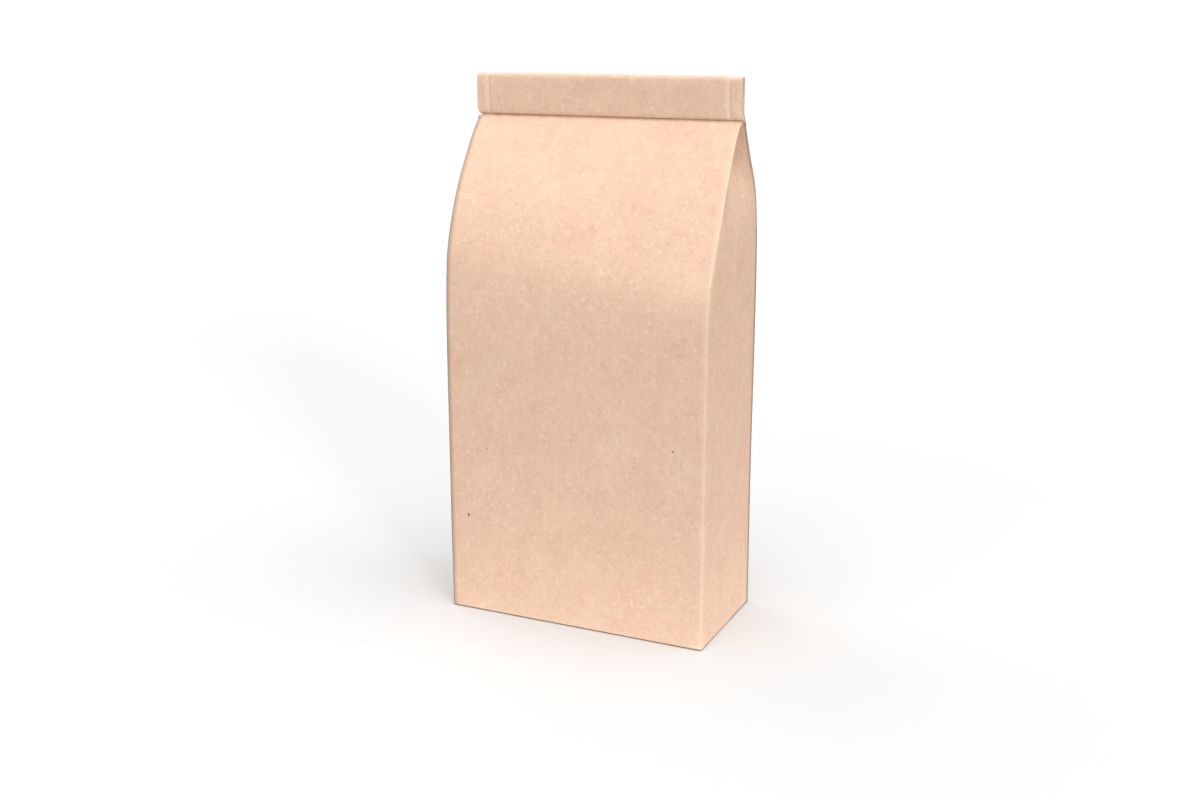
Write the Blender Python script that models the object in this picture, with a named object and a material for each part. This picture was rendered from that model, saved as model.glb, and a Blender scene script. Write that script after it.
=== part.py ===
"""A shut coffee bag of plain kraft paper: block bottom, gusseted sides, top folded over.

The bag is one sheet of paper, full and closed, so it is one solid. It stands on its block
bottom. +Z is up, the front panel faces -Y and the gussets face +X and -X. The origin is the
middle of the bottom. Sizes here are in millimetres, and Blender's units are metres.
"""

import math
from collections import namedtuple

import bmesh
import bpy
import numpy as np

MM = 0.001

# Driving dimensions
WIDTH = 108.0
DEPTH = 54.0
HEIGHT = 211.7
FOLD_WIDTH = 110.0
FOLD_HEIGHT = 15.9
PAPER_STACK = 0.9  # the flattened top: two panels and the gussets between them

# The side creases and the middles of the front and back panels, as (height, distance in Y)
FRONT_CREASE = (
    (0.0, -DEPTH / 2),
    (30.0, -27.4),
    (110.0, -27.6),
    (127.0, -27.1),
    (136.0, -26.0),
    (148.0, -22.6),
    (162.0, -17.4),
    (178.0, -9.0),
    (190.0, -2.2),
    (195.0, 2.0),
)
FRONT_MIDDLE = (
    (0.0, -DEPTH / 2),
    (20.0, -27.9),
    (60.0, -28.3),
    (110.0, -28.3),
    (127.0, -27.8),
    (136.0, -26.8),
    (148.0, -23.6),
    (162.0, -18.5),
    (178.0, -9.9),
    (190.0, -2.8),
    (195.0, 2.0),
)
BACK_CREASE = (
    (0.0, DEPTH / 2),
    (22.0, 26.2),
    (50.0, 25.4),
    (125.0, 25.4),
    (148.0, 24.6),
    (162.0, 23.0),
    (170.0, 21.0),
    (176.0, 17.8),
    (187.0, 11.4),
    (195.0, 6.8),
)
BACK_MIDDLE = (
    (0.0, DEPTH / 2),
    (20.0, 27.9),
    (60.0, 28.3),
    (110.0, 28.3),
    (148.0, 26.2),
    (162.0, 24.3),
    (170.0, 21.8),
    (176.0, 18.4),
    (187.0, 11.7),
    (195.0, 6.8),
)
# The pleat that the gusset closes into above the contents, as (height, depth)
GUSSET = (
    (0.0, 0.0),
    (148.0, 0.0),
    (158.0, 0.4),
    (162.0, 1.5),
    (168.0, 4.2),
    (174.0, 7.8),
    (180.0, 9.8),
    (187.0, 10.0),
    (192.0, 8.6),
    (195.0, 7.2),
)
BODY_LEVELS = (0, 10, 30, 50, 70, 90, 110, 120, 127, 132, 137, 142, 148, 153, 158, 162, 166, 170,
               174, 178, 182, 186, 190, 193, 195)

# The neck, where the front panel passes under the fold, as (height, front, back, pleat depth)
NECK = (
    (195.5, 2.9, 6.5, 6.8),
    (196.0, 3.6, 6.2, 6.0),
    (196.7, 4.1, 5.9, 4.8),
    (197.7, 4.3, 5.5, 3.4),
    (199.5, 4.3, 5.2, 2.5),
)
FOLD_PLEAT = 2.5

# The fold: the stack goes up at the back, over to the front, down, and back up inside
BACK_LAYER_Y = 4.75
FRONT_LAYER_Y = 2.15
INNER_LAYER_Y = 3.35
INNER_TOP = 207.5
STRAIGHT_STEPS = 3
TURN_STEPS = 6

# Pressed grooves down the front of the fold, near its ends
GROOVES = (-49.3, 49.5)
GROOVE_HALF_WIDTH = 1.2
GROOVE_DEPTH = 0.35
GROOVE_REACH = 0.1  # how far from a groove's line a column still counts as its bottom

# Columns across the bag at the fold, and rows through its depth as shares of the half depth
END_MARGIN = 2.0
PLAIN_COLUMNS = 9
ROWS = (-1.0, -0.72, -0.36, 0.0, 0.36, 0.72, 1.0)

Section = namedtuple("Section", "y z turn half_depth half_width pleat front_belly back_belly")


def smooth_along(points, at):
    """A curve through (position, value) points, without overshoot between them."""
    xs, ys = np.array(points).T
    slopes = np.diff(ys) / np.diff(xs)
    bends = slopes[:-1] * slopes[1:]
    safe = np.where(bends > 0, slopes[:-1] + slopes[1:], 1.0)
    tangents = np.concatenate(([slopes[0]], np.where(bends > 0, 2 * bends / safe, 0), [slopes[-1]]))
    i = int(np.clip(np.searchsorted(xs, at) - 1, 0, len(slopes) - 1))
    span = xs[i + 1] - xs[i]
    t = (at - xs[i]) / span
    return (
        ys[i] * (1 + 2 * t) * (1 - t) ** 2
        + ys[i + 1] * t * t * (3 - 2 * t)
        + span * t * (1 - t) * (tangents[i] * (1 - t) - tangents[i + 1] * t)
    )


def level_section(height, front, back, pleat, front_belly=0.0, back_belly=0.0):
    """A level cut between the front and the back creases."""
    return Section(
        y=(front + back) / 2,
        z=height,
        turn=0.0,
        half_depth=(back - front) / 2,
        half_width=(WIDTH + (FOLD_WIDTH - WIDTH) * min(height / NECK[0][0], 1.0)) / 2,
        pleat=pleat,
        front_belly=front_belly,
        back_belly=back_belly,
    )


def body_section(height):
    """A level cut through the filled body or the shoulder."""
    front = smooth_along(FRONT_CREASE, height)
    back = smooth_along(BACK_CREASE, height)
    return level_section(
        height,
        front,
        back,
        smooth_along(GUSSET, height),
        front - smooth_along(FRONT_MIDDLE, height),
        smooth_along(BACK_MIDDLE, height) - back,
    )


def fold_section(y, z, turn):
    """A cut across the flat stack, turned about X by the given angle."""
    return Section(y, z, turn, PAPER_STACK / 2, FOLD_WIDTH / 2, FOLD_PLEAT, 0.0, 0.0)


def turn_sections(centre_y, centre_z, radius, start, end):
    """The stack bent round a line along X."""
    for step in range(TURN_STEPS + 1):
        angle = start + (end - start) * step / TURN_STEPS
        y = centre_y + radius * math.cos(angle)
        z = centre_z + radius * math.sin(angle)
        yield fold_section(y, z, angle)


def straight_sections(y, z_from, z_to, turn):
    """The flat stack between two bends, without its ends."""
    for step in range(1, STRAIGHT_STEPS + 1):
        share = step / (STRAIGHT_STEPS + 1)
        yield fold_section(y, z_from + (z_to - z_from) * share, turn)


def fold_sections():
    """The folded-over top, from the neck to the tucked-in edge."""
    top_radius = (BACK_LAYER_Y - FRONT_LAYER_Y) / 2
    top_z = HEIGHT - PAPER_STACK / 2 - top_radius
    low_radius = (INNER_LAYER_Y - FRONT_LAYER_Y) / 2
    low_z = HEIGHT - FOLD_HEIGHT + PAPER_STACK / 2 + low_radius
    half_turn = math.pi
    yield from straight_sections(BACK_LAYER_Y, NECK[-1][0], top_z, 0.0)
    yield from turn_sections(BACK_LAYER_Y - top_radius, top_z, top_radius, 0.0, half_turn)
    yield from straight_sections(FRONT_LAYER_Y, top_z, low_z, half_turn)
    yield from turn_sections(
        FRONT_LAYER_Y + low_radius, low_z, low_radius, half_turn, 2 * half_turn
    )
    yield from straight_sections(INNER_LAYER_Y, low_z, INNER_TOP, 2 * half_turn)


def all_sections():
    yield from (body_section(height) for height in BODY_LEVELS)
    yield from (level_section(*cut) for cut in NECK)
    yield from fold_sections()


def columns():
    """Where the bag's columns of faces meet at the fold, in millimetres from its middle."""
    end = FOLD_WIDTH / 2
    found = [-end, -end + END_MARGIN, end - END_MARGIN, end]
    for groove in GROOVES:
        found += [groove - GROOVE_HALF_WIDTH, groove, groove + GROOVE_HALF_WIDTH]
    inner_low = GROOVES[0] + GROOVE_HALF_WIDTH
    inner_high = GROOVES[1] - GROOVE_HALF_WIDTH
    found += list(np.linspace(inner_low, inner_high, PLAIN_COLUMNS + 2)[1:-1])
    return sorted(found)


def place(section, across, through):
    """The point of a section at a share across (-1 to 1) and a share through (-1 to 1)."""
    pleat = section.pleat * (1 - abs(through))
    x = across * (section.half_width - pleat)
    outside = through > 0
    belly = section.back_belly if outside else section.front_belly
    reach = section.half_depth + belly * (1 - across * across)
    if outside and any(abs(across * FOLD_WIDTH / 2 - groove) < GROOVE_REACH for groove in GROOVES):
        facing_front = max(0.0, -math.cos(section.turn))
        reach -= GROOVE_DEPTH * facing_front
    y = section.y + through * reach * math.cos(section.turn)
    z = section.z + through * reach * math.sin(section.turn)
    return x * MM, y * MM, z * MM


def build_bag_mesh():
    """Extrudes the bag upwards from its bottom, one section at a time."""
    xs = columns()
    bm = bmesh.new()
    across = bm.verts.layers.float.new("across")
    through = bm.verts.layers.float.new("through")
    bmesh.ops.create_grid(bm, x_segments=len(xs) - 1, y_segments=len(ROWS) - 1, size=1.0)
    for vert in bm.verts:
        column = round((vert.co.x + 1) / 2 * (len(xs) - 1))
        row = round((vert.co.y + 1) / 2 * (len(ROWS) - 1))
        vert[across] = xs[column] / (FOLD_WIDTH / 2)
        vert[through] = ROWS[row]
    sections = list(all_sections())
    for vert in bm.verts:
        vert.co = place(sections[0], vert[across], vert[through])
    top = bm.faces[:]
    for number, section in enumerate(sections[1:]):
        grown = bmesh.ops.extrude_face_region(bm, geom=top)["geom"]
        if number > 0:
            bmesh.ops.delete(bm, geom=top, context="FACES")
        for vert in (item for item in grown if isinstance(item, bmesh.types.BMVert)):
            vert.co = place(section, vert[across], vert[through])
        top = [item for item in grown if isinstance(item, bmesh.types.BMFace)]
    bmesh.ops.recalc_face_normals(bm, faces=bm.faces[:])
    mesh = bpy.data.meshes.new("bag")
    bm.to_mesh(mesh)
    bm.free()
    return mesh


def kraft_paper():
    material = bpy.data.materials.new("kraft_paper")
    material.use_nodes = True
    surface = material.node_tree.nodes["Principled BSDF"]
    surface.inputs["Base Color"].default_value = (0.76, 0.52, 0.38, 1.0)
    surface.inputs["Roughness"].default_value = 0.85
    surface.inputs["Metallic"].default_value = 0.0
    return material


def clear_scene():
    for obj in list(bpy.data.objects):
        bpy.data.objects.remove(obj, do_unlink=True)


def main():
    clear_scene()
    collection = bpy.data.collections.new("coffee_bag")
    bpy.context.scene.collection.children.link(collection)
    mesh = build_bag_mesh()
    mesh.materials.append(kraft_paper())
    mesh.shade_smooth()
    mesh.set_sharp_from_angle(angle=math.radians(30))
    collection.objects.link(bpy.data.objects.new("bag", mesh))


main()
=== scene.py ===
# %% [markdown]
# # A shut coffee bag in natural kraft paper
#
# The real bag is one sheet of brown paper, glued into a tube with a pleat down each side and a
# flat block bottom. It is filled with coffee, its top is flattened and folded over to the front,
# and the fold is pressed flat. This lesson models the whole bag as one mesh, the way the paper
# itself runs: a ring of edges starts at the bottom, is drawn upwards level by level, and is then
# spun over the top and tucked in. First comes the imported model, which fixes the size and place.

import math

import bmesh
import bpy
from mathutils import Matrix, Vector, kdtree, noise


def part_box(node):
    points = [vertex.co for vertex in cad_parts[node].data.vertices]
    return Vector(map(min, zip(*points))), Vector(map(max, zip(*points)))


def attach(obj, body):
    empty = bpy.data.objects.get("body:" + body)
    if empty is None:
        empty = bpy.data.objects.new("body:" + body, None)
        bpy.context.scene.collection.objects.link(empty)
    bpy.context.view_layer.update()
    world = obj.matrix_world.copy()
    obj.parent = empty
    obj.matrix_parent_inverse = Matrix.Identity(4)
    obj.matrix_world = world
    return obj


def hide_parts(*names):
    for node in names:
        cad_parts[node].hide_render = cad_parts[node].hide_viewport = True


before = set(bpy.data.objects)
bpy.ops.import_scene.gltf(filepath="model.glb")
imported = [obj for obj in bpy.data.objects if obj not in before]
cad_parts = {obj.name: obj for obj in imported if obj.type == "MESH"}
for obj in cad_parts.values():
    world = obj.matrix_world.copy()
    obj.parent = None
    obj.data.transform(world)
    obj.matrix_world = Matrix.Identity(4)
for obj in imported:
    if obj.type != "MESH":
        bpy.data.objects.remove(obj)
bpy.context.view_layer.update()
low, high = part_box("bag")
MM = 0.001
print("the bag's box in mm:", [round(c / MM, 1) for c in (*low, *high)])


# %% [markdown]
# ## The camera
#
# A camera can be aimed with a constraint, or placed by its position and two angles. The second
# way is chosen because the angles then say plainly how the bag is seen: from the right of the
# front by about 25 degrees, and from a little above.

# %% Place the camera
CAMERA_PLACE = (0.2280, -0.4938, 0.2295)
CAMERA_TURN = math.radians(24.84)
CAMERA_DOWN = math.radians(14.78)
CAMERA_LENS = 42.73

camera_data = bpy.data.cameras.new("camera")
camera_data.lens = CAMERA_LENS
camera_data.sensor_width = 36.0
camera_data.clip_start = 0.01
camera = bpy.data.objects.new("camera", camera_data)
camera.location = CAMERA_PLACE
camera.rotation_euler = (math.radians(90) - CAMERA_DOWN, 0.0, CAMERA_TURN)
bpy.context.scene.collection.objects.link(camera)
bpy.context.scene.camera = camera
bpy.context.scene.view_settings.view_transform = "Standard"
print("camera at", CAMERA_PLACE)


# %% [markdown]
# ## The floor and the light
#
# The bag stands on a pale studio floor that runs out to the horizon. A floor of a single tone is
# the simpler way, and the better start for another scene. This one has two tricks. The camera
# sees a paler tone than bounced light meets, so the floor looks bright but washes little light
# over the bag. Near the bag it also gives off some light that the camera can't see, which lifts
# the foot of the panels. The sky is likewise brighter to the camera than it is as a light.
#
# The lamps are white suns from above, the front and the sides, because suns light a floor evenly
# out to the horizon, which area lamps close to the bag would not. Most are wide, and so cast soft
# shadows. The key is narrower. The shoulder comes out brightest, and the upright panels a tone
# darker.

# %% Make the floor
FLOOR_HALF = 30.0
FLOOR_SEEN = 0.66
FLOOR_BOUNCE = 0.3
SHINE, SHINE_REACH, SHINE_SHIFT = 0.6, 0.1, 0.025

bpy.ops.object.select_all(action="DESELECT")
bpy.ops.mesh.primitive_plane_add(size=2 * FLOOR_HALF, location=(0, 0, 0))
floor = bpy.context.active_object
floor.name = "floor"

floor_paint = bpy.data.materials.new("floor_paint")
floor_paint.use_nodes = True
nodes, links = floor_paint.node_tree.nodes, floor_paint.node_tree.links
seen = nodes.new("ShaderNodeMixShader")
path = nodes.new("ShaderNodeLightPath")
links.new(path.outputs["Is Camera Ray"], seen.inputs[0])
for slot, grey in ((1, FLOOR_BOUNCE), (2, FLOOR_SEEN)):
    paint = nodes.new("ShaderNodeBsdfDiffuse")
    paint.inputs["Color"].default_value = (grey, grey, grey, 1)
    links.new(paint.outputs[0], seen.inputs[slot])
links.new(seen.outputs[0], nodes["Material Output"].inputs["Surface"])
nodes.remove(nodes["Principled BSDF"])

place = nodes.new("ShaderNodeTexCoord").outputs["Object"]
for operation, value in (
    ("SUBTRACT", (SHINE_SHIFT, 0, 0)),
    ("ABSOLUTE", None),
    ("SUBTRACT", (high.x, high.y, 0)),
    ("MAXIMUM", (0, 0, 0)),
    ("LENGTH", None),
):
    step = nodes.new("ShaderNodeVectorMath")
    step.operation = operation
    links.new(place, step.inputs[0])
    if value is not None:
        step.inputs[1].default_value = value
    place = step.outputs["Value" if operation == "LENGTH" else "Vector"]
fade = nodes.new("ShaderNodeMapRange")
fade.interpolation_type = "SMOOTHERSTEP"
fade.inputs["From Max"].default_value = SHINE_REACH
fade.inputs["To Min"].default_value = SHINE
fade.inputs["To Max"].default_value = 0.0
links.new(place, fade.inputs["Value"])
shine = nodes.new("ShaderNodeEmission")
links.new(fade.outputs[0], shine.inputs["Strength"])
bounce = nodes.new("ShaderNodeAddShader")
links.new(seen.inputs[1].links[0].from_socket, bounce.inputs[0])
links.new(shine.outputs[0], bounce.inputs[1])
links.new(bounce.outputs[0], seen.inputs[1])
floor.data.materials.append(floor_paint)
print("floor", floor.dimensions[:])


# %% Light the scene
SKY_STRENGTH = 0.66
SKY_SEEN = 1.1
SUNS = (
    ("overhead", 45.0, 75.0, 60.0, 1.95),
    ("key", 50.0, 18.0, 12.0, 0.85),
    ("front fill", -15.0, 20.0, 50.0, 0.35),
    ("left back", -112.0, 50.0, 40.0, 0.4),
    ("right", 95.0, 50.0, 40.0, 0.2),
)

world = bpy.data.worlds.new("studio")
bpy.context.scene.world = world
world.use_nodes = True
nodes, links = world.node_tree.nodes, world.node_tree.links
dim = nodes["Background"]
dim.inputs["Color"].default_value = (1, 1, 1, 1)
dim.inputs["Strength"].default_value = SKY_STRENGTH
white = nodes.new("ShaderNodeBackground")
white.inputs["Color"].default_value = (1, 1, 1, 1)
white.inputs["Strength"].default_value = SKY_SEEN
path = nodes.new("ShaderNodeLightPath")
seen = nodes.new("ShaderNodeMixShader")
links.new(path.outputs["Is Camera Ray"], seen.inputs[0])
links.new(dim.outputs[0], seen.inputs[1])
links.new(white.outputs[0], seen.inputs[2])
links.new(seen.outputs[0], nodes["World Output"].inputs["Surface"])


def add_sun(name, side, height, spread, strength):
    """A soft white sun, side degrees round to the right of the front, height degrees up."""
    data = bpy.data.lights.new(name, "SUN")
    data.energy = strength
    data.angle = math.radians(spread)
    sun = bpy.data.objects.new(name, data)
    sun.rotation_euler = (math.radians(90 - height), 0, math.radians(side))
    bpy.context.scene.collection.objects.link(sun)


for sun in SUNS:
    add_sun(*sun)
print("suns:", [sun[0] for sun in SUNS])


# %% [markdown]
# ## The bag, step 1: a ring of paper drawn upwards
#
# The bag could be sculpted from a box, but its paper is a tube, so the mesh is a tube as well. A
# plane of the bottom's size is cut into columns and its rim is kept. Extruding the rim makes a
# wall of faces, and scaling the new rim gives each level its own depth. The corners of the rim
# draw the four long creases of the bag, and the middle of each side draws its pleat.

# %% Helpers for edit mode
def select_where(obj, test):
    """In edit mode, selects the vertices that pass the test, and what lies between them."""
    mesh = bmesh.from_edit_mesh(obj.data)
    for item in (*mesh.faces, *mesh.edges, *mesh.verts):
        item.select = False
    chosen = 0
    for vert in mesh.verts:
        vert.select = bool(test(vert.co / MM))
        chosen += vert.select
    mesh.select_flush(True)
    bmesh.update_edit_mesh(obj.data)
    return chosen


def name_points(name, test):
    """Puts the points that pass the test in a vertex group, which extrusions then carry on."""
    select_where(bag, test)
    bag.vertex_groups.active = bag.vertex_groups.new(name=name)
    bpy.ops.object.vertex_group_assign()


def select_named(*names, test=lambda p: True):
    """Selects the points that are wholly in one of the groups and pass the test."""
    mesh = bmesh.from_edit_mesh(bag.data)
    weights = mesh.verts.layers.deform.verify()
    wanted = [bag.vertex_groups[name].index for name in names]
    for item in (*mesh.faces, *mesh.edges, *mesh.verts):
        item.select = False
    for vert in mesh.verts:
        inside = any(vert[weights].get(index, 0.0) > 0.999 for index in wanted)
        vert.select = inside and bool(test(vert.co / MM))
    mesh.select_flush(True)
    bmesh.update_edit_mesh(bag.data)


def move_selected(x=0.0, y=0.0, z=0.0):
    bpy.ops.transform.translate(value=(x * MM, y * MM, z * MM))


# %% Start from the bottom's rim
WIDTH = 108.0
DEPTH = 54.0
COLUMNS = (-36, -18, 0, 18, 36)

bpy.ops.object.select_all(action="DESELECT")
bpy.ops.mesh.primitive_plane_add(size=1)
bag = bpy.context.active_object
bag.name = "kraft_bag"
bpy.ops.object.mode_set(mode="EDIT")
bpy.ops.transform.resize(value=(WIDTH * MM, DEPTH * MM, 1))
for column in COLUMNS:
    bpy.ops.mesh.select_all(action="SELECT")
    bpy.ops.mesh.bisect(plane_co=(column * MM, 0, 0), plane_no=(1, 0, 0))
bpy.ops.mesh.select_all(action="SELECT")
bpy.ops.mesh.bisect(plane_co=(0, 0, 0), plane_no=(0, 1, 0))
bpy.ops.mesh.select_all(action="SELECT")
bpy.ops.mesh.delete(type="ONLY_FACE")
select_where(bag, lambda p: abs(p.x) < WIDTH / 2 - 1 and abs(p.y) < DEPTH / 2 - 1)
bpy.ops.mesh.delete(type="VERT")
name_points("creases", lambda p: abs(p.x) > WIDTH / 2 - 1 and abs(p.y) > 1)
name_points("pleats", lambda p: abs(p.x) > WIDTH / 2 - 1 and abs(p.y) < 1)
name_points("back_sheet", lambda p: p.y > 1)
bpy.ops.mesh.select_all(action="SELECT")
print("rim with", len(bmesh.from_edit_mesh(bag.data).verts), "points")


# %% Draw the rim up through the body and the shoulder
FOLD_HALF_WIDTH = high.x / MM - 0.1
NECK_HALF_WIDTH = 54.5
TOP = high.z / MM - 0.1
LEVELS = (
    (3.0, -27.0, 26.9),
    (28.0, -27.1, 26.0),
    (62.0, -27.2, 25.4),
    (98.0, -27.3, 25.4),
    (122.0, -27.2, 25.4),
    (133.0, -26.5, 25.2),
    (142.0, -24.8, 24.9),
    (152.0, -21.3, 24.4),
    (161.0, -17.8, 23.4),
    (168.0, -14.4, 21.9),
    (173.5, -11.6, 19.6),
    (180.0, -7.7, 15.6),
    (187.0, -3.8, 11.4),
    (192.5, 0.0, 8.2),
    (195.2, 2.4, 6.7),
    (196.4, 4.0, 6.0),
    (198.6, 4.3, 5.2),
)


class Rim:
    """The height, middle, depth and half width of the rim that is being drawn up."""

    z, middle, depth, half_width = 0.0, 0.0, DEPTH, WIDTH / 2


def draw_up(z, front, back):
    """Extrudes the selected rim to a level, and gives it that level's depth and width."""
    bpy.ops.mesh.extrude_region_move(
        TRANSFORM_OT_translate={"value": (0, 0, (z - Rim.z) * MM)}
    )
    half_width = WIDTH / 2 + (NECK_HALF_WIDTH - WIDTH / 2) * z / LEVELS[-1][0]
    if z == LEVELS[-1][0]:
        half_width = FOLD_HALF_WIDTH
    shape = (half_width / Rim.half_width, (back - front) / Rim.depth, 1)
    bpy.ops.transform.resize(value=shape, center_override=(0, Rim.middle * MM, z * MM))
    move_selected(y=(front + back) / 2 - Rim.middle)
    Rim.z, Rim.middle, Rim.depth, Rim.half_width = z, (front + back) / 2, back - front, half_width


for level in LEVELS:
    draw_up(*level)
print("drawn up to", Rim.z, "mm, depth", round(Rim.depth, 2), "mm")


# %% [markdown]
# ## The bag, step 2: fold the top over
#
# Above the contents the front and back lie flat together. This flat stack goes up, turns over
# towards the front, comes down, and its end turns in and up behind the front layer. Each turn is
# half a circle about a line along X, which is just what the Spin operator makes.

# %% Spin the flat top over
STACK = 0.9
BACK_LAYER, FRONT_LAYER, INNER_LAYER = 4.75, 2.15, 3.35
FOLD_HEIGHT = 15.9
over_radius = (BACK_LAYER - FRONT_LAYER) / 2
over_z = TOP - STACK / 2 - over_radius
tuck_radius = (INNER_LAYER - FRONT_LAYER) / 2
tuck_z = TOP - FOLD_HEIGHT + STACK / 2 + tuck_radius
INNER_TOP = 207.5


def run_straight(to_z, steps):
    for _ in range(steps):
        step = (to_z - Rim.z) / steps
        bpy.ops.mesh.extrude_region_move(
            TRANSFORM_OT_translate={"value": (0, 0, step * MM)}
        )
    Rim.z = to_z


def half_turn(middle_y, z):
    """Spins the stack half a turn over a line along X, towards the front and down."""
    bpy.ops.mesh.spin(
        steps=4, angle=math.pi, center=(0, middle_y * MM, z * MM), axis=(-1, 0, 0)
    )


run_straight(over_z, 2)
half_turn(BACK_LAYER - over_radius, over_z)
run_straight(tuck_z, 3)
half_turn(FRONT_LAYER + tuck_radius, tuck_z)
run_straight(INNER_TOP, 2)
bpy.ops.mesh.edge_face_add()
mesh = bmesh.from_edit_mesh(bag.data)
print("highest point", round(max(v.co.z for v in mesh.verts) / MM, 2), "mm")


# %% Press in the side pleats
PLEATS = (
    (161.0, 0.8),
    (168.0, 4.0),
    (173.5, 7.8),
    (180.0, 9.8),
    (187.0, 10.0),
    (192.5, 8.5),
    (195.2, 7.0),
    (196.4, 5.5),
    (198.6, 2.5),
)


def side_middles(z):
    """The middle of the rim at a level, on both sides."""
    middle = {level[0]: (level[1] + level[2]) / 2 for level in LEVELS}[z]
    return lambda p: abs(p.x) > 50 and abs(p.z - z) < 0.05 and abs(p.y - middle) < 0.05


for z, depth in PLEATS:
    select_where(bag, side_middles(z))
    reach = FOLD_HALF_WIDTH
    bpy.ops.transform.resize(value=((reach - depth) / reach, 1, 1), center_override=(0, 0, 0))
print("pleats pressed in at", len(PLEATS), "levels")


# %% [markdown]
# ## The bag, step 3: smooth paper between sharp creases
#
# A Subdivision Surface rounds the whole cage. Paper bends softly across its panels but stays
# sharp where it was creased, so the four long creases, the middles of the pleats and the rim of
# the bottom are given a full edge crease first.

# %% Crease, subdivide and close the bottom
PLEAT_START = 172.0

select_named("creases")
bpy.ops.transform.edge_crease(value=1.0)
select_named("pleats", test=lambda p: p.z > PLEAT_START)
bpy.ops.transform.edge_crease(value=1.0)
select_where(bag, lambda p: p.z < 0.01)
bpy.ops.transform.edge_crease(value=1.0)
bpy.ops.object.mode_set(mode="OBJECT")

smooth = bag.modifiers.new("smooth paper", "SUBSURF")
smooth.levels = smooth.render_levels = 3
bpy.ops.object.modifier_apply(modifier=smooth.name)

bpy.ops.object.mode_set(mode="EDIT")
select_where(bag, lambda p: p.z < 0.001)
bpy.ops.mesh.edge_face_add()
print("paper of", len(bmesh.from_edit_mesh(bag.data).faces), "faces")


# %% [markdown]
# ## The bag, step 4: the push of the contents
#
# The coffee presses the flat panels outwards by a millimetre or so, and never quite evenly. A
# cloth simulation would find such a shape but change it at every try. Moving the points by short
# profiles along the height is repeatable, and each number has a meaning: how far a panel swells,
# how much the front panel twists about its middle, how far the neck leans to the right, how deep
# a corner of the base is dented, and how uneven the paper lies.

# %% Helpers for moving the paper point by point
def smooth_along(points, at):
    """The height at a place of a smooth curve through (place, height) points."""
    if at <= points[0][0]:
        return points[0][1]
    if at >= points[-1][0]:
        return points[-1][1]
    i = max(k for k, point in enumerate(points) if point[0] <= at)
    i = min(i, len(points) - 2)

    def slope(k):
        if k in (0, len(points) - 1):
            return 0.0
        (x0, y0), (x1, y1) = points[k - 1], points[k + 1]
        return (y1 - y0) / (x1 - x0)

    (x0, y0), (x1, y1) = points[i], points[i + 1]
    span = x1 - x0
    t = (at - x0) / span
    return (
        y0 * (1 + 2 * t) * (1 - t) ** 2
        + y1 * t * t * (3 - 2 * t)
        + span * t * (1 - t) * (slope(i) * (1 - t) - slope(i + 1) * t)
    )


def shape_paper(shift):
    """In edit mode, moves every point by the shift in mm that a function gives for it."""
    mesh = bmesh.from_edit_mesh(bag.data)
    mesh.normal_update()
    weights = mesh.verts.layers.deform.verify()
    group = bag.vertex_groups["back_sheet"].index
    moves = []
    for vert in mesh.verts:
        back = vert[weights].get(group, 0.0)
        moves.append(Vector(shift(vert.co / MM, vert.normal, back)) * MM)
    for vert, move in zip(mesh.verts, moves):
        vert.co += move
    bmesh.update_edit_mesh(bag.data)


# %% Swell, twist and ruffle the panels
FRONT_SWELL, BACK_SWELL, SIDE_SWELL = 0.55, 2.3, 0.4
SWELL = ((1.0, 0.0), (18.0, 0.7), (45.0, 1.0), (125.0, 1.0), (165.0, 0.8), (192.0, 0.0))
TWIST = ((30.0, 0.0), (60.0, -0.35), (106.0, -0.7), (127.0, -0.9), (136.0, -0.55), (144.0, 0.3),
         (152.0, 0.8), (160.0, 1.15), (168.0, 1.15), (177.0, 0.9), (185.0, 0.4), (190.0, 0.1), (196.0, -0.4))
LEAN = ((175.0, 0.0), (188.0, 0.2), (193.0, 0.4), (196.0, 0.4), (198.5, 0.0))
DENT, DENT_WIDTH, DENT_HEIGHT = 0.9, 4.5, 9.0
RUFFLE = ((2.0, 0.0), (20.0, 0.12), (120.0, 0.16), (150.0, 0.4), (182.0, 0.35), (193.0, 0.05),
          (199.0, 0.12))
RUFFLE_ON_SIDES = 0.3
FOLD_START = 199.0
NECK_FROM, NECK_OVER = 187.0, 8.0


def swell_and_twist(p, normal, back):
    rise = smooth_along(SWELL, p.z)
    over_width = max(0.0, 1 - (p.x / (WIDTH / 2)) ** 2)
    over_depth = max(0.0, 1 - (p.y / (DEPTH / 2)) ** 2)
    outwards = -FRONT_SWELL if normal.y < 0 else BACK_SWELL
    y = outwards * over_width * abs(normal.y) * rise
    x = SIDE_SWELL * over_depth * normal.x * rise
    in_neck = min(1.0, max(0.0, (p.z - NECK_FROM) / NECK_OVER))
    share = (1 - back) * (1 - in_neck) + in_neck
    x += smooth_along(LEAN, p.z)
    return (x, y + p.x / (WIDTH / 2) * smooth_along(TWIST, p.z) * share, 0)


def dent_corner(p, normal, back):
    """Presses the front right corner of the base in, where the flaps are folded thick."""
    from_corner = (WIDTH / 2 - p.x) / DENT_WIDTH + p.z / DENT_HEIGHT
    if p.y > -DEPTH / 2 + 4 or from_corner > 1 or p.z < 0.01:
        return (0, 0, 0)
    return (0, DENT * (1 - from_corner) * min(1.0, p.z / 2.0), 0)


def ruffle(p, normal, back):
    place = Vector((p.x, p.y, p.z * 0.7))
    height = noise.noise(place / 30) + 0.3 * noise.noise(place / 11 + Vector((5, 3, 1)))
    x, y, z = normal * height * smooth_along(RUFFLE, p.z)
    return (x * RUFFLE_ON_SIDES, y, z)


shape_paper(swell_and_twist)
shape_paper(dent_corner)
shape_paper(ruffle)
mesh = bmesh.from_edit_mesh(bag.data)
print("front panel at its fullest:", round(min(v.co.y for v in mesh.verts) / MM, 2), "mm")


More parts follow.
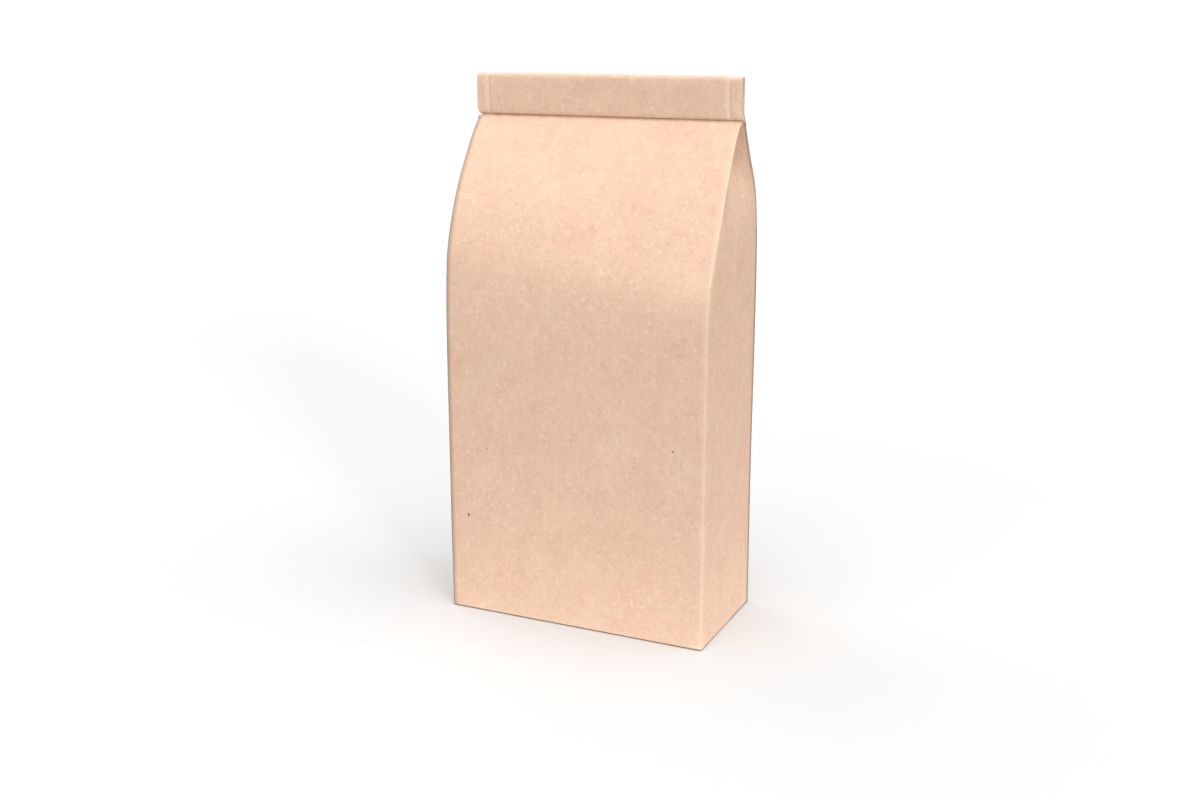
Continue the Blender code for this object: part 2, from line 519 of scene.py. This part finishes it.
# %% [markdown]
# ## The bag, step 5: round the folds
#
# A fold in stout paper isn't a knife edge. It has a radius of about half a millimetre, and that
# narrow round strip is what catches the light along the bag's long edges. Bevel makes it.

# %% Bevel the creases
CREASE_ROUND = 0.45
STACK_ROUND = 0.14
NECK_TOP = 194.0

select_named("creases", test=lambda p: p.z < NECK_TOP)
mesh = bmesh.from_edit_mesh(bag.data)
for edge in mesh.edges:
    if all(vert.co.z < 1e-6 for vert in edge.verts):
        edge.select_set(True)
bmesh.update_edit_mesh(bag.data)
bpy.ops.mesh.bevel(offset=CREASE_ROUND * MM, segments=3, affect="EDGES")
select_named("creases", test=lambda p: p.z > NECK_TOP + 4)
bpy.ops.mesh.bevel(offset=STACK_ROUND * MM, segments=2, affect="EDGES")
print("rounded to", len(bmesh.from_edit_mesh(bag.data).faces), "faces")


# %% [markdown]
# ## The bag, step 6: the glued seam and the pressed lines
#
# The sheet becomes a tube where the edge of the back panel is glued over a narrow flap, close to
# the right-hand crease. That edge runs up the back, over the top and down the front of the fold,
# where it shows as a thin step. A second line is pressed into the fold near its other end. Extra
# cuts are made only where the paper steps, so that the step stays crisp, and each point then
# sinks along its own normal by a depth read from a short profile.

# %% Cut and sink the seam and the pressed line
SEAM_CUTS = (48.2, 48.8, 49.1, 49.5, 49.9, 50.2, 50.5, 50.8, 51.4)
SEAM_DEPTH = ((48.0, 0.0), (48.7, -0.08), (49.1, 0.0), (49.9, 0.5), (50.2, 0.55), (50.8, 0.12),
              (51.4, 0.1), (55.0, 0.1))
PRESSED_CUTS = (-51.7, -51.1, -50.8, -50.4, -50.0, -49.6, -49.3, -49.0, -48.7, -48.2)
PRESSED_DEPTH = ((-52.2, 0.0), (-51.3, -0.06), (-50.8, 0.02), (-50.0, 0.44), (-49.3, 0.52),
                 (-48.7, 0.05), (-48.2, -0.04), (-47.4, 0.0))
SEAM_SHARE_ON_BACK = 0.45
LINE_BEND = 1.0
LINE_PLACE, LINE_REACH = 49.3, 3.5
END_SHORT, END_ROUND = 0.5, 0.7
END_REACH, CORNER_REACH = 4.0, 2.0

for cut in SEAM_CUTS:
    select_named("back_sheet", test=lambda p: p.z > 1)
    bpy.ops.mesh.bisect(plane_co=(cut * MM, 0, 0), plane_no=(1, 0, 0))
for cut in PRESSED_CUTS:
    select_named("back_sheet", test=lambda p: p.z > FOLD_START - 4)
    bpy.ops.mesh.bisect(plane_co=(cut * MM, 0, 0), plane_no=(1, 0, 0))


def sink_lines(p, normal, back):
    """Sinks the seam up the back, and both lines on the fold, where they also bend a little."""
    if back < 0.99 or p.z < 1:
        return (0, 0, 0)
    on_fold = max(0.0, -normal.y, normal.z) if p.z > FOLD_START - 4 else 0.0
    depth = smooth_along(SEAM_DEPTH, p.x) * max(on_fold, SEAM_SHARE_ON_BACK)
    depth += smooth_along(PRESSED_DEPTH, p.x) * on_fold
    down = min(1.0, (TOP - p.z) / FOLD_HEIGHT)
    near = max(0.0, 1 - ((abs(p.x) - LINE_PLACE) / LINE_REACH) ** 2)
    return -normal * depth + Vector((LINE_BEND * down**4 * near * max(0.0, -normal.y), 0, 0))


def round_ends(p, normal, back):
    """Pulls the left end of the fold in a little, and its corners a little more."""
    if p.z < TOP - FOLD_HEIGHT - 0.5 or p.x > 0:
        return (0, 0, 0)
    low = max(0.0, 1 - (p.z - (TOP - FOLD_HEIGHT)) / CORNER_REACH)
    top = max(0.0, 1 - (TOP - p.z) / CORNER_REACH)
    near = max(0.0, 1 - (FOLD_HALF_WIDTH - abs(p.x)) / END_REACH)
    return (((low**2 + top**2) * END_ROUND + END_SHORT) * near, 0, 0)


shape_paper(round_ends)
shape_paper(sink_lines)
print("seam sunk; faces:", len(bmesh.from_edit_mesh(bag.data).faces))


# %% [markdown]
# ## The bag, step 7: the block bottom
#
# The bottom is folded like an envelope: the two ends are tucked in first, the back flap goes over
# them and the front flap over that. The layers are only paper thick, so the front flap is left on
# the ground and the faces under it are pushed up into the bag, one paper step at a time.

# %% Fold the bottom flaps
BOTTOM_MARGIN = 0.9
FLAP_STEP = 0.3
FLAP_EDGE = 6.0
half_width, half_depth = WIDTH / 2, DEPTH / 2


def select_bottom(region):
    """Selects the faces of the bottom whose middle lies in the region."""
    mesh = bmesh.from_edit_mesh(bag.data)
    for item in (*mesh.faces, *mesh.edges, *mesh.verts):
        item.select = False
    for face in mesh.faces:
        middle = face.calc_center_median() / MM
        if abs(middle.z) < 1.0 and abs(face.normal.z) > 0.9 and region(middle):
            face.select_set(True)
    bmesh.update_edit_mesh(bag.data)


def inside_rim(p):
    return abs(p.x) < half_width - BOTTOM_MARGIN and abs(p.y) < half_depth - BOTTOM_MARGIN


def at_ends(p):
    """The triangle at each end, between the two slanting edges of the flaps."""
    slant = half_width - (p.y + half_depth if p.y < FLAP_EDGE else half_depth - p.y)
    return inside_rim(p) and abs(p.x) > slant


def under_front_flap(p):
    return inside_rim(p) and (p.y > FLAP_EDGE or at_ends(p))


bpy.ops.mesh.select_mode(type="FACE")
select_bottom(lambda p: abs(p.x) < half_width - 2)
bpy.ops.mesh.inset(thickness=BOTTOM_MARGIN * MM, depth=0)
CUTS = [((0, FLAP_EDGE), (0, 1))]
for side in (-1, 1):
    CUTS.append(((side * half_width, -half_depth), (side, 1)))
    CUTS.append(((side * half_width, half_depth), (side, -1)))
for place, across in CUTS:
    select_bottom(inside_rim)
    bpy.ops.mesh.bisect(plane_co=(place[0] * MM, place[1] * MM, 0), plane_no=(*across, 0))
for region in (under_front_flap, at_ends):
    select_bottom(region)
    bpy.ops.mesh.extrude_region_move(
        TRANSFORM_OT_translate={"value": (0, 0, FLAP_STEP * MM)}
    )
bpy.ops.mesh.select_mode(type="VERT")
print("bottom folded; faces:", len(bmesh.from_edit_mesh(bag.data).faces))


# %% Close up
bpy.ops.mesh.select_all(action="SELECT")
bpy.ops.mesh.normals_make_consistent(inside=False)
mesh = bmesh.from_edit_mesh(bag.data)
print("open or doubled edges:", sum(not edge.is_manifold for edge in mesh.edges))
bpy.ops.object.mode_set(mode="OBJECT")
bpy.ops.object.shade_smooth_by_angle(angle=math.radians(40))
print("size in mm:", [round(side / MM, 1) for side in bag.dimensions])


# %% [markdown]
# ## The paper, step 1: where it is worn, and where light and shade are painted
#
# Paper fibres break where the sheet was folded, so a folded edge looks paler, and that pale line is also a
# painted highlight along each fold. The outer folds and the rim of the base get a thin dark line of painted
# shade, where the paper turns away from the light and where it meets the floor. Painting that by hand would
# work, but the mesh knows where it is bent: how near each point is to a fold is stored on the mesh, once for
# the wear and painted highlight and once for the painted shade, and the material reads both.

# %% Store the wear, the painted highlight and the painted shade of the folds
FOLD_BEND = math.radians(18)
WEAR_AND_HIGHLIGHT_REACH = 1.0
PAINTED_SHADE_REACH = 0.6


def gets_painted_shade(p):
    """The folds that get a dark line of painted shade: the base, where it meets the floor, and all side
    creases but the front right.
    """
    at_side = abs(p.x) > WIDTH / 2 - 2 and p.z < TOP - FOLD_HEIGHT - 1
    front_right = p.x > 0 and p.y < 4.2
    return p.z < 0.5 or at_side and not front_right


mesh = bmesh.new()
mesh.from_mesh(bag.data)
bent = [edge for edge in mesh.edges if edge.is_manifold and edge.calc_face_angle() > FOLD_BEND]
tree = kdtree.KDTree(3 * len(bent))
for i, edge in enumerate(bent):
    for share in (0.0, 0.5, 1.0):
        tree.insert(edge.verts[0].co.lerp(edge.verts[1].co, share), i)
tree.balance()
values = {"fold_wear_and_highlight": [], "fold_painted_shade": []}
for vert in mesh.verts:
    away = tree.find(vert.co)[2] / MM
    # A pale line along every fold, partly wear and partly a painted highlight.
    values["fold_wear_and_highlight"].append(max(0.0, 1 - away / WEAR_AND_HIGHLIGHT_REACH))
    # Painted shade: a dark line along the outer folds and the rim of the base.
    painted_shade = max(0.0, 1 - away / PAINTED_SHADE_REACH) if gets_painted_shade(vert.co / MM) else 0.0
    values["fold_painted_shade"].append(painted_shade)
mesh.free()
for name, column in values.items():
    stored = bag.data.attributes.new(name, "FLOAT", "POINT")
    for item, value in zip(stored.data, column):
        item.value = value
    print(name, "on", sum(value > 0.3 for value in column), "points")


# %% [markdown]
# ## The paper, step 2: what kraft paper is made of
#
# Kraft paper is pressed from brown wood pulp. From close by it shows thin curled fibres, soft
# clouds where the pulp lay thicker, pale and dark flecks, and here and there a small blister.
# Each of these is a node group that gives values only, so that it can be looked at by itself.

# %% Helpers for nodes
def add_node(tree, kind, inputs=None, **settings):
    """Adds a node, sets it up, and fills its inputs with values or links them to sockets."""
    made = tree.nodes.new(kind)
    for name, value in settings.items():
        setattr(made, name, value)
    for name, value in (inputs or {}).items():
        if isinstance(value, bpy.types.NodeSocket):
            tree.links.new(value, made.inputs[name])
        else:
            made.inputs[name].default_value = value
    return made


def calc(tree, operation, a, b=0.0, clamp=False):
    inputs = {0: a, 1: b}
    return add_node(tree, "ShaderNodeMath", inputs, operation=operation, use_clamp=clamp).outputs[0]


def ramp(tree, value, low, high, to_low=0.0, to_high=1.0):
    """Maps low..high to to_low..to_high, smoothly, and no further."""
    inputs = {"Value": value, "From Min": low, "From Max": high, "To Min": to_low,
              "To Max": to_high}
    made = add_node(tree, "ShaderNodeMapRange", inputs, interpolation_type="SMOOTHSTEP")
    return made.outputs["Result"]


def blend(tree, share, a, b, way="MIX"):
    inputs = {0: share, 6: a, 7: b}
    made = add_node(tree, "ShaderNodeMix", inputs, data_type="RGBA", blend_type=way)
    return made.outputs[2]


def new_group(name, *outputs):
    """A node group that takes a place in metres and gives the named values."""
    group = bpy.data.node_groups.new(name, "ShaderNodeTree")
    group.interface.new_socket("Place", in_out="INPUT", socket_type="NodeSocketVector")
    for output in outputs:
        group.interface.new_socket(output, in_out="OUTPUT", socket_type="NodeSocketFloat")
    start, end = group.nodes.new("NodeGroupInput"), group.nodes.new("NodeGroupOutput")
    return group, start.outputs["Place"], end


# %% Curled fibres and the grain of the sheet
group, place, end = new_group("paper fibres", "Pale Fibres", "Dark Fibres", "Grain")
for output, shift, scale in (("Pale Fibres", 0.0, 560.0), ("Dark Fibres", 0.37, 700.0)):
    moved = add_node(group, "ShaderNodeMapping", {"Vector": place, "Location": (shift, shift, 0)})
    wander = add_node(group, "ShaderNodeTexNoise", {
        "Vector": moved.outputs[0], "Scale": scale, "Detail": 1.0, "Distortion": 0.7})
    crossing = calc(group, "ABSOLUTE", calc(group, "SUBTRACT", wander.outputs[0], 0.5))
    line = ramp(group, crossing, 0.0, 0.07, 1.0, 0.0)
    pieces = add_node(group, "ShaderNodeTexNoise", {
        "Vector": moved.outputs[0], "Scale": scale * 0.7, "Detail": 0.0})
    shown = ramp(group, pieces.outputs[0], 0.53, 0.62)
    group.links.new(calc(group, "MULTIPLY", line, shown), end.inputs[output])
grain = 0.0
for scale in ((300, 300, 1500), (1500, 1500, 260)):
    stretched = add_node(group, "ShaderNodeMapping", {"Vector": place, "Scale": scale})
    streaks = add_node(group, "ShaderNodeTexNoise", {
        "Vector": stretched.outputs[0], "Scale": 1.0, "Detail": 2.0, "Distortion": 1.0})
    grain = calc(group, "ADD", grain, calc(group, "SUBTRACT", streaks.outputs[0], 0.5))
group.links.new(grain, end.inputs["Grain"])
fibres = group
print("group:", fibres.name)


# %% Clouds in the pulp
group, place, end = new_group("pulp clouds", "Broad", "Small", "Tint")
for output, scale, detail, shift in (
    ("Broad", 45.0, 2.0, 0.0), ("Small", 210.0, 3.0, 0.0), ("Tint", 85.0, 4.0, 0.23)
):
    moved = add_node(group, "ShaderNodeMapping", {"Vector": place, "Location": (shift, 0, shift)})
    cloud = add_node(group, "ShaderNodeTexNoise", {
        "Vector": moved.outputs[0], "Scale": scale, "Detail": detail, "Roughness": 0.6})
    value = calc(group, "MULTIPLY", calc(group, "SUBTRACT", cloud.outputs[0], 0.5), 2.6)
    group.links.new(value, end.inputs[output])
clouds = group
print("group:", clouds.name)


# %% Pale and dark flecks
group, place, end = new_group("flecks", "Pale Flecks", "Dark Flecks")
for output, scale, rarity, size in (
    ("Pale Flecks", 330.0, 0.55, 0.13), ("Dark Flecks", 210.0, 0.72, 0.075)
):
    cells = add_node(group, "ShaderNodeTexVoronoi", {"Vector": place, "Scale": scale})
    chance = add_node(group, "ShaderNodeSeparateColor", {"Color": cells.outputs["Color"]})
    reach = ramp(group, chance.outputs[0], rarity, 1.0, 0.0, size)
    near = calc(group, "SUBTRACT", reach, cells.outputs["Distance"])
    group.links.new(ramp(group, near, 0.0, 0.03), end.inputs[output])
flecks = group
print("group:", flecks.name)


# %% The few marks that can be told apart
MARKS = (
    ("Marks", (-45.8, -27.0, 40.1), (0.55, 3.0, 0.95)),
    ("Marks", (41.8, -28.0, 77.5), (0.5, 3.0, 0.5)),
    ("Marks", (0.2, -28.0, 77.0), (0.35, 3.0, 0.35)),
    ("Marks", (-36.9, -27.5, 68.7), (0.4, 3.0, 0.35)),
    ("Blister", (16.4, -28.0, 59.3), (1.5, 3.0, 1.3)),
    ("Blister", (27.0, -28.0, 70.0), (1.2, 3.0, 1.0)),
)

group, place, end = new_group("marks", "Marks", "Blister")
sums = {"Marks": 0.0, "Blister": 0.0}
for output, centre, reach in MARKS:
    size = [1 / (side * MM) for side in reach]
    from_centre = add_node(group, "ShaderNodeMapping", {
        "Vector": place, "Scale": size,
        "Location": [-centre[axis] * MM * size[axis] for axis in range(3)]})
    away = add_node(group, "ShaderNodeVectorMath", {0: from_centre.outputs[0]}, operation="LENGTH")
    near = ramp(group, away.outputs["Value"], 0.4, 1.0, 1.0, 0.0)
    sums[output] = calc(group, "ADD", sums[output], near)
for output, total in sums.items():
    group.links.new(total, end.inputs[output])
marks = group
print("group:", marks.name)


# %% [markdown]
# ## The paper, step 3: the material
#
# The colour lies between a pinkish and a yellowish brown, tinted by the clouds. Fibres and flecks
# make it a little lighter or darker, and folds are paler, partly from wear and partly as a painted
# highlight. A few marks are dark, and the outer folds and the rim of the base carry a dark line of painted
# shade. The paper is unglazed, so it is very rough and reflects little, and its fibres and blisters give it
# a slight relief.

# %% Make the kraft paper
PINKISH = (0.765, 0.497, 0.367, 1)
YELLOWISH = (0.765, 0.545, 0.392, 1)
PALE = (0.92, 0.72, 0.57, 1)
DARK = (0.36, 0.20, 0.13, 1)
# A near-black brown, used for the few dark marks and for the painted shade along the outer folds and the
# base rim.
MARK_AND_SHADE_DARK = (0.16, 0.09, 0.06, 1)

kraft = bpy.data.materials.new("kraft sheet")
kraft.use_nodes = True
tree = kraft.node_tree
surface = tree.nodes["Principled BSDF"]
place = add_node(tree, "ShaderNodeTexCoord").outputs["Object"]
effects = {}
for group in (fibres, clouds, flecks, marks):
    made = add_node(tree, "ShaderNodeGroup", node_tree=group)
    tree.links.new(place, made.inputs["Place"])
    effects.update({output.name: output for output in made.outputs})
for name, stored in (("Worn And Highlight", "fold_wear_and_highlight"), ("Painted Shade", "fold_painted_shade")):
    effects[name] = add_node(tree, "ShaderNodeAttribute", attribute_name=stored).outputs["Fac"]

tint = calc(tree, "ADD", effects["Tint"], 0.5, clamp=True)
colour = blend(tree, tint, PINKISH, YELLOWISH)
light = 1.0
for name, amount in (("Broad", 0.04), ("Small", 0.045), ("Grain", 0.13)):
    light = calc(tree, "ADD", light, calc(tree, "MULTIPLY", effects[name], amount))
colour = blend(tree, 1.0, colour, light, "MULTIPLY")
# Along the folds these blends add a pale line that is partly wear and partly a painted highlight, and a dark
# line of painted shade on the outer folds and the base rim.
for name, amount, toward in (
    ("Pale Fibres", 0.38, PALE), ("Dark Fibres", 0.18, DARK), ("Pale Flecks", 0.5, PALE),
    ("Dark Flecks", 0.40, DARK), ("Marks", 1.0, MARK_AND_SHADE_DARK), ("Worn And Highlight", 0.30, PALE),
    ("Painted Shade", 0.85, MARK_AND_SHADE_DARK),
):
    colour = blend(tree, calc(tree, "MULTIPLY", effects[name], amount), colour, toward)
tree.links.new(colour, surface.inputs["Base Color"])

height = 0.0
for name, amount in (("Small", 0.5), ("Pale Fibres", 0.25), ("Grain", 0.5), ("Blister", 1.6)):
    height = calc(tree, "ADD", height, calc(tree, "MULTIPLY", effects[name], amount))
relief = add_node(tree, "ShaderNodeBump", {"Height": height, "Strength": 0.5, "Distance": 0.00015})
tree.links.new(relief.outputs[0], surface.inputs["Normal"])
surface.inputs["Roughness"].default_value = 0.85
surface.inputs["Specular IOR Level"].default_value = 0.25
bag.data.materials.append(kraft)
print("material:", kraft.name, "with", len(tree.nodes), "nodes")


# %% [markdown]
# ## Hand the bag over
#
# The whole bag is one piece of paper, so it is one object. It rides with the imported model, and
# stands in for its single body and its paper.

# %% Assign the bag
for piece in (bag,):
    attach(piece, "root")
    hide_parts("bag")
